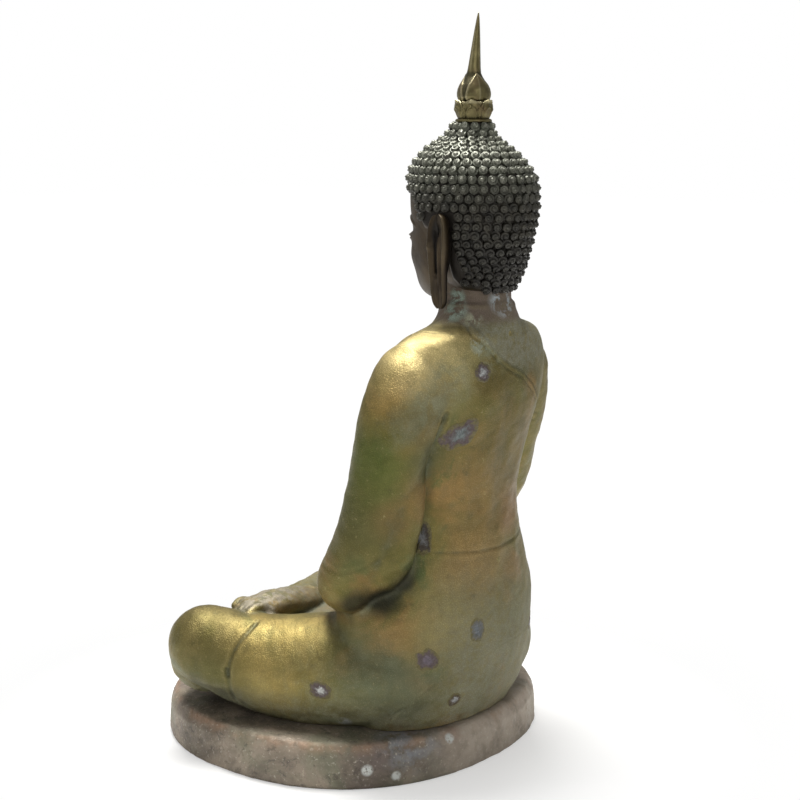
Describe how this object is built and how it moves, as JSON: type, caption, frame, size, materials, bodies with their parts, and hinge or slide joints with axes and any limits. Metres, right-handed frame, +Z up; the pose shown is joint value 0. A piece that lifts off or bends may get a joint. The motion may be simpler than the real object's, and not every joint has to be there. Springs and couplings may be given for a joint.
{
  "type": "seated buddha statue",
  "caption": "Seated bronze Buddha in half-lotus, right hand over the shin, curled hair, lift-off flame finial, on a low round plinth pinned to the hollow figure",
  "frame": {"origin": "middle of the bounding box, at the plinth's underside", "axes": "+Z up, the figure faces -Y, its left hand is on the +X side"},
  "size_m": [0.4821, 0.4998, 0.9003],
  "materials": {
    "body_bronze": "olive and gold patinated cast bronze",
    "dark_bronze": "near-black cast bronze with green in the hollows",
    "crown_bronze": "satin olive-brown cast bronze",
    "plinth_bronze": "brown-grey cast bronze with worn copper edges",
    "bush_bronze": "turned bronze",
    "rivet_bronze": "hammered bronze, filed flush",
    "key_iron": "rusted iron",
    "core_pin_iron": "grey corroded iron"
  },
  "bodies": {
    "figure": {"chaplet_breast_left": "core_pin_iron", "chaplet_breast_right": "core_pin_iron", "chaplet_flank": "core_pin_iron", "chaplet_hip_left": "core_pin_iron", "chaplet_hip_rear": "core_pin_iron", "chaplet_hip_right": "core_pin_iron", "chaplet_loin": "core_pin_iron", "chaplet_mid_back": "core_pin_iron", "chaplet_shoulder_blade": "core_pin_iron", "chaplet_thigh_left": "core_pin_iron", "chaplet_thigh_right": "core_pin_iron", "head": "dark_bronze", "lap": "body_bronze", "left_arm": "body_bronze", "left_hand": "body_bronze", "lotus_collar": "crown_bronze", "neck_rivet_left": "rivet_bronze", "neck_rivet_rear": "rivet_bronze", "neck_rivet_right": "rivet_bronze", "plinth": "plinth_bronze", "right_arm": "body_bronze", "right_hand": "body_bronze", "socket_bush": "bush_bronze", "tang_key_left": "key_iron", "tang_key_rear": "key_iron", "tang_key_right": "key_iron", "torso": "body_bronze", "waist_rivet_front": "rivet_bronze", "waist_rivet_left": "rivet_bronze", "waist_rivet_rear": "rivet_bronze", "waist_rivet_right": "rivet_bronze"},
    "finial": {"flame_finial": "crown_bronze"}
  },
  "joints": [
    {"name": "finial_lift", "type": "slide", "parent": "figure", "child": "finial", "axis": [0, 0, 1], "range_m": [0, 0.06]}
  ]
}
